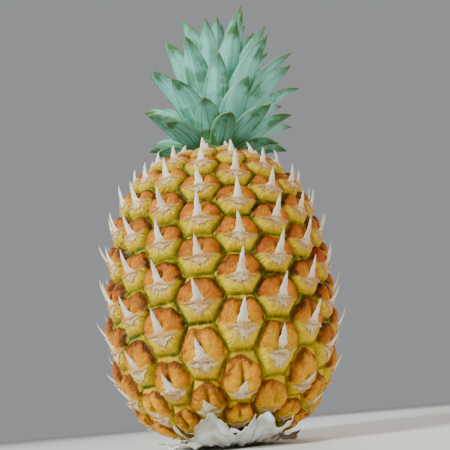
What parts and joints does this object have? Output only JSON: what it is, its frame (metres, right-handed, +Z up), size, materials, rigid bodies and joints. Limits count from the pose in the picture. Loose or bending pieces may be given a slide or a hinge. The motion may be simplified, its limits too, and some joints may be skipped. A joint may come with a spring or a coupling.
{
  "type": "pineapple",
  "caption": "Whole pineapple with a leafy crown, papery bracts on its eyes and a cut stalk, standing upright.",
  "frame": {"origin": "middle of the cut face of the stalk, which the fruit stands on", "axes": "+Z up along the axis of the fruit towards the crown; -Y is the side that the picture shows; the crown leans a little towards +X"},
  "size_m": [0.1319, 0.1318, 0.2763],
  "materials": {
    "rind": "waxy, orange to yellow eyes with olive green grooves",
    "crown_leaf": "waxy blue-green with a pale bloom",
    "stalk": "dry fibrous cut end",
    "dry_leaf": "dry, papery, off-white to tan"
  },
  "bodies": {
    "root": {"fruit": "rind", "crown": "crown_leaf", "stalk": "stalk", "collar": "dry_leaf"}
  },
  "joints": []
}
